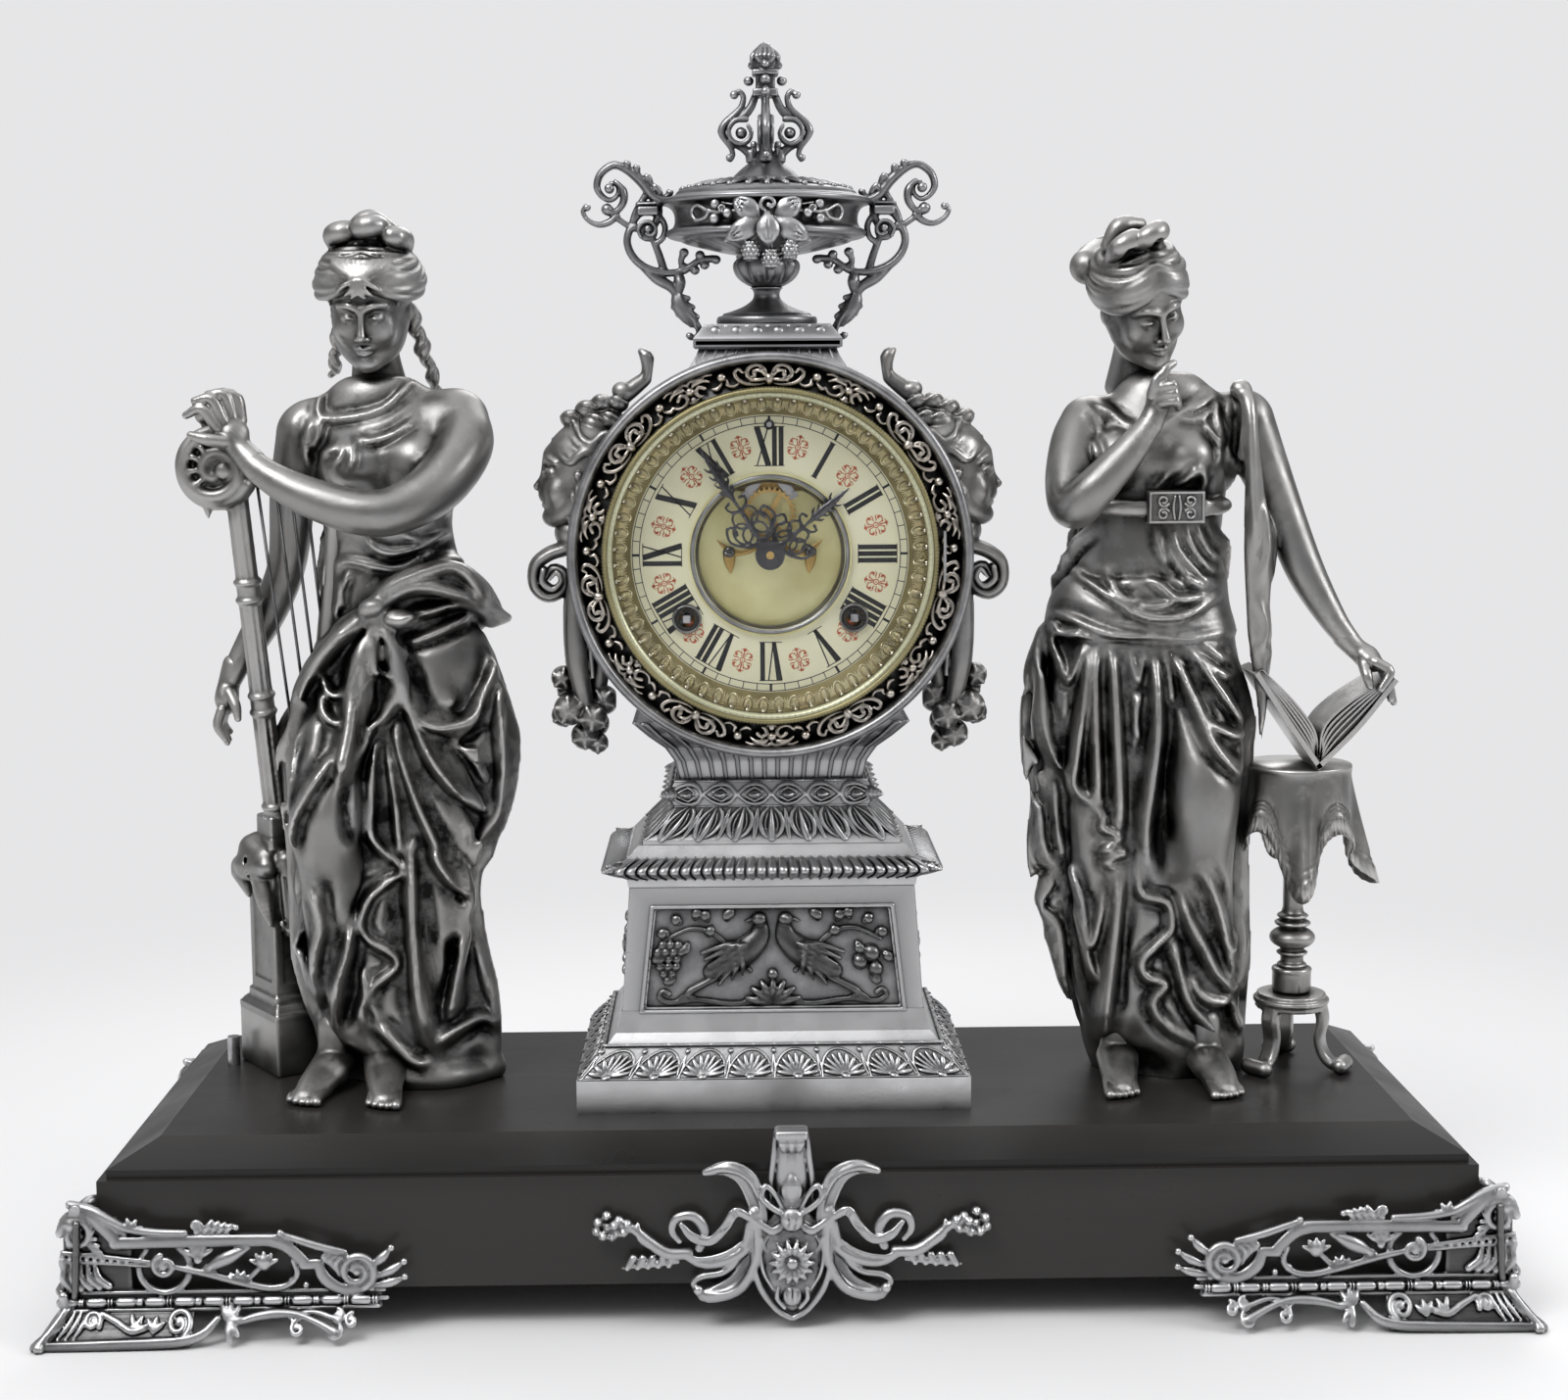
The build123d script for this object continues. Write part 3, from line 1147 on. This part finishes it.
def musician():
    """The left figure: draped body, head with a bun, and two arms; the harp stands beside it."""
    h = musician_height
    section_shares = (
        (0.000, 0.011, 0.007, 0.117, 0.096), (0.057, 0.007, 0.004, 0.126, 0.099),
        (0.111, -0.004, 0.004, 0.128, 0.099), (0.224, -0.025, 0.004, 0.115, 0.094),
        (0.288, -0.020, 0.004, 0.115, 0.092), (0.419, 0.000, 0.004, 0.144, 0.087),
        (0.497, 0.000, 0.004, 0.145, 0.087), (0.600, 0.018, 0.004, 0.121, 0.078),
        (0.678, 0.018, 0.004, 0.110, 0.071), (0.795, 0.002, 0.004, 0.090, 0.059),
        (0.884, 0.007, 0.000, 0.106, 0.064), (0.940, 0.004, 0.007, 0.103, 0.055),
        (0.976, -0.004, 0.011, 0.053, 0.039), (1.000, -0.011, 0.004, 0.034, 0.033),)
    fold_shares = (
        ((-0.046, -0.014, 0.589, 0.053), (-0.067, -0.064, 0.483, 0.053),
         (-0.078, -0.092, 0.398, 0.050), (-0.078, -0.074, 0.288, 0.041),
         (-0.078, -0.064, 0.104, 0.035)),
        ((0.060, -0.028, 0.554, 0.050), (0.067, -0.039, 0.430, 0.050), (0.050, -0.057, 0.111, 0.041)),
        ((0.124, -0.007, 0.607, 0.025), (0.138, -0.018, 0.494, 0.032), (0.117, -0.007, 0.352, 0.021)),
        ((0.142, 0.000, 0.671, 0.021), (0.096, -0.064, 0.713, 0.023), (0.035, -0.078, 0.710, 0.020),
         (-0.011, -0.074, 0.678, 0.018)),
        ((-0.011, -0.078, 0.664, 0.016), (-0.032, -0.085, 0.554, 0.019),
         (-0.050, -0.089, 0.455, 0.013)),
        ((0.018, -0.071, 0.614, 0.012), (0.050, -0.089, 0.515, 0.013), (0.138, -0.057, 0.394, 0.012)),
        ((0.035, -0.082, 0.352, 0.014), (0.043, -0.099, 0.150, 0.016), (0.057, -0.092, 0.068, 0.015)),
        ((-0.032, -0.074, 0.667, 0.014), (-0.099, -0.046, 0.593, 0.015),
         (-0.131, -0.011, 0.522, 0.013)),
        ((0.025, -0.071, 0.026, 0.022), (0.082, -0.064, 0.026, 0.023), (0.131, -0.035, 0.029, 0.023)),)
    gown = draped(section_shares, fold_shares, musician_x, musician_y, h)
    top = floor_z + h
    head_x = musician_x - head_radius / 10
    head_z = top + head_height * 3 / 4
    head = egg(head_x, musician_y - head_radius / 5, head_z, head_radius, head_radius, head_height)
    head += egg(head_x, musician_y, head_z + head_height, bun_radius * 3 / 2, bun_radius, bun_radius)
    gown = largest(gown - head)
    right_shares = ((-0.105, 0.05, 0.915), (-0.150, 0.09, 0.735), (-0.215, 0.10, 0.600),
                    (-0.225, 0.08, 0.510))
    left_shares = ((0.105, 0.00, 0.930), (0.020, -0.13, 0.835), (-0.160, -0.11, 0.870),
                   (-0.185, -0.04, 0.930))
    arms = []
    for shares in (right_shares, left_shares):
        points = [(musician_x + sx * h, musician_y + sy * h, floor_z + sz * h) for sx, sy, sz in shares]
        arm = bar(points, [arm_radius * 3 / 2, arm_radius, wrist_radius, hand_radius])
        arms.append(arm)
    return gown, head, arms


def harp(gown, arms):
    """Stone block, fluted pillar with a scrolled head, soundboard and strings."""
    block_x = musician_x - musician_height / 4
    block = fuse([Pos(block_x, harp_y, floor_z + harp_block_height / 5) * Rot(0, 0, 45)
                  * Box(harp_block_width, harp_block_width, harp_block_height * 2 / 5),
                  Pos(block_x, harp_y, floor_z + harp_block_height / 2) * Rot(0, 0, 45)
                  * Box(harp_block_width * 3 / 4, harp_block_width * 3 / 4, harp_block_height)])
    block = largest(block - gown)
    top_share = 0.86
    top_z = floor_z + musician_height * top_share
    low = (block_x + harp_pillar_radius * 2, harp_y - harp_pillar_radius, floor_z + harp_block_height)
    head_x = block_x - harp_pillar_radius / 2
    high = (head_x, harp_y - 2 * harp_pillar_radius, top_z)
    pillar = bar([low, high], [harp_pillar_radius, harp_pillar_radius])
    cut_low = box_between(block_x - harp_block_width, block_x + harp_block_width, harp_y - harp_block_width,
                          harp_y + harp_block_width, 0, floor_z + harp_block_height)
    scroll = rod_y(harp_scroll_radius, high[1] - harp_pillar_radius, high[1] + harp_pillar_radius, head_x,
                   top_z + harp_scroll_radius / 2)
    neck_share = 0.11
    neck_end = (musician_x - musician_height * neck_share, high[1], top_z - harp_scroll_radius)
    neck = bar([(head_x, high[1], top_z + harp_scroll_radius / 4), neck_end],
               [harp_pillar_radius, harp_pillar_radius * 3 / 4])
    sound = bar([neck_end, (low[0] + harp_pillar_radius, low[1], low[2] + harp_pillar_radius)],
                [harp_pillar_radius * 3 / 4, harp_pillar_radius])
    frame = fuse([pillar, scroll, neck, sound]) - cut_low
    for piece in [gown, *arms]:
        frame -= piece
    frame = largest(frame)
    return block, frame, low, high, neck_end


def harp_wires(frame, gown, arms, low, high, neck_end):
    """Four strings between the neck and the soundboard."""
    wires = []
    for share in (0.3, 0.5, 0.7, 0.87):
        top = [a + (b - a) * share for a, b in zip(high, neck_end)]
        low_share = 1 - share
        foot_point = [a + (b - a) * (1 - low_share) for a, b in zip(low, neck_end)]
        wire = bar([tuple(foot_point), tuple(top)], [string_radius, string_radius])
        wire = wire - frame - gown
        for arm in arms:
            wire = wire - arm
        if wire.solids():
            wires.append(largest(wire))
    return wires


def reader():
    """The right figure: draped body, bowed head, one hand to the chin and one to the book."""
    h = reader_height
    section_shares = (
        (0.000, 0.035, 0.011, 0.106, 0.082), (0.040, 0.028, 0.007, 0.117, 0.090),
        (0.121, 0.018, 0.004, 0.122, 0.094), (0.199, 0.011, 0.004, 0.126, 0.094),
        (0.302, -0.004, 0.004, 0.133, 0.090), (0.387, -0.007, 0.004, 0.138, 0.090),
        (0.472, -0.014, 0.004, 0.147, 0.090), (0.533, -0.018, 0.004, 0.149, 0.089),
        (0.632, -0.016, 0.004, 0.129, 0.083), (0.685, -0.014, 0.004, 0.124, 0.076),
        (0.784, -0.002, 0.004, 0.101, 0.057), (0.884, 0.016, 0.000, 0.101, 0.060),
        (0.944, 0.018, 0.007, 0.096, 0.048), (0.976, 0.018, 0.011, 0.053, 0.037),
        (1.000, 0.016, 0.004, 0.035, 0.032),)
    fold_shares = (
        ((0.057, -0.014, 0.589, 0.053), (0.067, -0.060, 0.494, 0.053),
         (0.064, -0.082, 0.401, 0.048), (0.067, -0.067, 0.288, 0.041), (0.082, -0.057, 0.104, 0.035)),
        ((-0.067, -0.021, 0.554, 0.050), (-0.074, -0.032, 0.430, 0.048),
         (-0.057, -0.050, 0.096, 0.039)),
        ((-0.067, -0.064, 0.607, 0.013), (-0.060, -0.082, 0.483, 0.014),
         (-0.053, -0.078, 0.359, 0.013)),
        ((-0.004, -0.067, 0.614, 0.013), (-0.004, -0.082, 0.483, 0.014),
         (-0.018, -0.078, 0.323, 0.013)),
        ((-0.053, -0.074, 0.302, 0.014), (-0.067, -0.089, 0.146, 0.015),
         (-0.074, -0.078, 0.075, 0.014)),
        ((-0.025, -0.071, 0.338, 0.012), (0.018, -0.085, 0.224, 0.013), (-0.004, -0.089, 0.111, 0.012)),
        ((0.121, -0.035, 0.965, 0.014), (0.135, -0.053, 0.838, 0.018),
         (0.142, -0.050, 0.685, 0.019), (0.147, -0.057, 0.522, 0.013)),)
    gown = draped(section_shares, fold_shares, reader_x, reader_y, h)
    top = floor_z + h
    head_x = reader_x - head_radius / 3
    head_z = top + head_height * 2 / 3
    head = egg(head_x, reader_y - head_radius / 2, head_z, head_radius, head_radius, head_height)
    head += egg(head_x - bun_radius, reader_y + bun_radius, head_z + head_height * 3 / 4,
                bun_radius * 3 / 2, bun_radius, bun_radius)
    gown = largest(gown - head)
    right_shares = ((-0.105, 0.00, 0.925), (-0.130, -0.08, 0.815), (-0.022, -0.14, 0.920),
                    (-0.010, -0.115, 0.955))
    left_shares = ((0.125, 0.00, 0.930), (0.200, 0.00, 0.770), (0.262, -0.03, 0.640),
                   (0.315, -0.045, 0.590))
    arms = []
    for shares in (right_shares, left_shares):
        points = [(reader_x + sx * h, reader_y + sy * h, floor_z + sz * h) for sx, sy, sz in shares]
        arms.append(bar(points, [arm_radius * 3 / 2, arm_radius, wrist_radius, hand_radius]))
    return gown, head, arms


def table():
    """The round table with its cloth, turned column and three bent legs."""
    top = floor_z + table_height
    hem = top - cloth_drop
    rim = table_radius / 10
    foot_z = floor_z + table_height / 4
    cloth = turned([(0, hem + rim), (table_radius - rim, hem), (table_radius + cloth_flare, hem),
                    (table_radius, top - rim), (table_radius - rim, top), (0, top)], table_x, table_y)
    column = turned([(0, foot_z - rim), (3 * column_radius, foot_z - rim),
                     (3 * column_radius, foot_z + rim),
                     (column_radius * 7 / 4, foot_z + rim), (column_radius * 7 / 4,
                                                             foot_z + 3 * column_radius),
                     (column_radius, foot_z + 4 * column_radius),
                     (column_radius * 2, foot_z + 5 * column_radius),
                     (column_radius, foot_z + 6 * column_radius), (column_radius, hem + 2 * rim),
                     (0, hem + 2 * rim)],
                    table_x, table_y)
    whole = cloth + column
    for turn in range(3):
        angle = math.radians(turn * 120 + 210)
        ux = math.cos(angle)
        uy = math.sin(angle)
        leg_points = [(table_x + share * leg_reach * ux, table_y + share * leg_reach * uy, level)
                      for share, level in ((0.62, foot_z), (0.95, foot_z - table_height / 12),
                                           (0.75, floor_z + table_height / 8), (1.0, floor_z + leg_radius))]
        whole += bar(leg_points, [leg_radius] * len(leg_points))
    whole -= box_between(table_x - 2 * table_radius, table_x + 2 * table_radius, table_y - 2 * table_radius,
                         table_y + 2 * table_radius, 0, floor_z)
    return whole, top


def open_book(top):
    """An open book standing on its spine, its boards spread in a vee."""
    leaves = []
    for side in (-1, 1):
        page = Pos(0, 0, book_height / 2) * Box(book_cover * 2, book_depth, book_height)
        leaves.append(Pos(side * book_cover, 0, 0) * Rot(0, side * book_open_angle, 0) * page)
    book = fuse([*leaves, Pos(0, 0, book_cover) * Box(3 * book_cover, book_depth, 3 * book_cover)])
    book = Pos(book_x, table_y - book_depth / 4, top) * book
    return book - box_between(table_x - table_radius * 3, table_x + table_radius * 3,
                              table_y - table_radius * 3,
                              table_y + table_radius * 3, top - book_height, top)


def fasteners(rails, board, plinth, feet, gown_l, gown_r, block_l):
    """Studs with nuts through the top board, and the screws that hold the feet to the rails."""
    screws = []
    stud_places = [(musician_x, musician_y, floor_z + stud_grip), (reader_x, reader_y, floor_z + stud_grip),
                   (clock_x - die_top_width / 4, 0, floor_z + plinth_floor),
                   (clock_x + die_top_width / 4, 0, floor_z + plinth_floor),
                   (musician_x - musician_height / 4, harp_y, floor_z + stud_grip)]
    for sx, sy, top in stud_places:
        stud = rod_z(stud_radius, rail_top - nut_thickness - cut_overrun, top, sx, sy)
        for index, target in enumerate(rails):
            rails[index] = target - stud
        board -= stud
        plinth -= stud
        gown_l -= stud
        gown_r -= stud
        block_l -= stud
        nut_face = Plane.XY.offset(rail_top - nut_thickness) * Pos(sx, sy) * RegularPolygon(nut_across / 2, 6)
        nut = extrude(nut_face, amount=nut_thickness)
        screws.append(stud + nut)
    foot_screw_x = half_width - foot_ledge
    foot_screw_y = half_depth - rail_thickness / 2
    new_feet = []
    for (sx, sy), piece in feet:
        bolt = rod_z(screw_radius, 0, base_bottom + screw_length, sx * foot_screw_x, sy * foot_screw_y)
        clear = rod_z(2 * screw_radius, 0, foot_sole, sx * foot_screw_x, sy * foot_screw_y)
        piece = piece - bolt - clear
        screw = rod_z(screw_radius, foot_sole - 2 * screw_radius, base_bottom + screw_length,
                      sx * foot_screw_x,
                      sy * foot_screw_y)
        head = rod_z(2 * screw_radius, foot_sole - 2 * screw_radius, foot_sole, sx * foot_screw_x,
                     sy * foot_screw_y)
        for index, target in enumerate(rails):
            rails[index] = target - bolt
        screws.append(screw + head)
        new_feet.append(piece)
    return rails, board, plinth, new_feet, gown_l, gown_r, block_l, screws


rails, board = base_parts()
plinth, die, plaques, pedestal_cap, neck, neck_z = pedestal()
plinth = Pos(clock_x, 0, 0) * plinth
shell, front_ring = drum(neck_z)
cap_block, cap_z = cap()
stem, bowl, lid, finial, handle, fruit = urn(cap_z)
mask = side_mask()
pan, porcelain, eyelets, centre_pan, rehaut = dial()
bezel_ring, bezel_glass, door_knuckles, door_pin = bezel()
cover, cover_knuckles, cover_pin, cover_hinge_y = rear_cover()
frame, great, arbor, wheel3, escape, anchor, wheel_m, wheel_h, windings, regulator, rear = movement()
gong, hammer, gong_low = striking()
hour_hand, minute_hand, hand_nut = hands()
gown_l, head_l, arms_l = musician()
arms_l = [largest(arm - gown_l - head_l) for arm in arms_l]
block_l, harp_frame, harp_low, harp_high, harp_end = harp(gown_l, arms_l)
arms_l = [largest(arm - harp_frame) for arm in arms_l]
wires = harp_wires(harp_frame, gown_l, arms_l, harp_low, harp_high, harp_end)
gown_r, head_r, arms_r = reader()
arms_r = [largest(arm - gown_r - head_r) for arm in arms_r]
table_piece, table_top = table()
table_piece = largest(table_piece - gown_r)
book = open_book(table_top)
arms_r = [largest(arm - book - table_piece) for arm in arms_r]
first_foot = foot()
feet = [((-1, -1), first_foot), ((1, -1), mirror_x(first_foot)), ((-1, 1), mirror_y(first_foot)),
        ((1, 1), mirror_y(mirror_x(first_foot)))]
fastened = fasteners(rails, board, plinth, feet, gown_l, gown_r, block_l)
rails, board, plinth, feet, gown_l, gown_r, block_l, screws = fastened
front_ring = front_ring + door_knuckles[0] + door_knuckles[1]
front_ring -= rod_z(hinge_pin_radius, dial_height - door_knuckle * 2, dial_height + door_knuckle * 2,
                    door_hinge_x, door_hinge_y)
shell = shell + cover_knuckles[0] + cover_knuckles[1]
shell -= rod_z(hinge_pin_radius, dial_height - door_knuckle * 2, dial_height + door_knuckle * 2,
               cover_hinge_x, cover_hinge_y)

keep("base_rails", *rails)
keep("base_top", board)
for name, piece in zip(("foot_front_left", "foot_front_right", "foot_back_left", "foot_back_right"), feet):
    keep(name, piece)
keep("base_ornament", ornament())
keep("fixing_screws", *screws)
keep("pedestal_plinth", plinth)
keep_clock("pedestal_die", die)
keep_clock("relief_plaques", *plaques)
keep_clock("pedestal_top", pedestal_cap)
keep_clock("lower_neck", neck)
keep_clock("drum_shell", shell)
keep_clock("drum_front_ring", front_ring)
keep_clock("back_cover", cover)
keep_clock("cap_neck", cap_block)
keep_clock("urn_stem", stem)
keep_clock("urn_bowl", bowl)
keep_clock("urn_lid", lid)
keep_clock("urn_finial", finial)
keep_clock("urn_handles", handle, mirror_x(handle))
keep_clock("urn_fruit", fruit)
keep_clock("side_masks", mask, mirror_x(mask))
keep_clock("dial_pan", pan)
keep_clock("chapter_ring", porcelain)
keep_clock("centre_pan", centre_pan)
keep_clock("winding_eyelets", *eyelets)
keep_clock("rehaut_ring", rehaut)
keep_clock("bezel_ring", bezel_ring)
keep_clock("bezel_glass", bezel_glass)
keep_clock("hinge_pins", door_pin, cover_pin)
keep_clock("hour_hand", hour_hand)
keep_clock("minute_hand", minute_hand)
keep_clock("hand_nut", hand_nut)
keep_clock("movement_frame", *frame)
keep_clock("great_wheel", great)
keep_clock("centre_arbor", arbor)
keep_clock("third_wheel", wheel3)
keep_clock("escape_wheel", escape)
keep_clock("pallet_anchor", anchor)
keep_clock("pendulum", pendulum_piece())
keep_clock("minute_wheel", wheel_m)
keep_clock("hour_wheel", wheel_h)
keep_clock("winding_arbor_left", windings[0])
keep_clock("winding_arbor_right", windings[1])
keep_clock("regulator_arbor", regulator)
keep_clock("strike_hammer", hammer)
keep_clock("gong", gong)
keep("musician_gown", gown_l)
keep("musician_head", head_l)
keep("musician_arms", *arms_l)
keep("harp_frame", harp_frame)
keep("harp_strings", *wires)
keep("harp_block", block_l)
keep("reader_gown", gown_r)
keep("reader_head", head_r)
keep("reader_arms", *arms_r)
keep("side_table", table_piece)
keep("book", book)

os.makedirs("parts", exist_ok=True)
for name, shape in made.items():
    export_step(shape, f"parts/{name}.step")
print(len(made), "pieces")
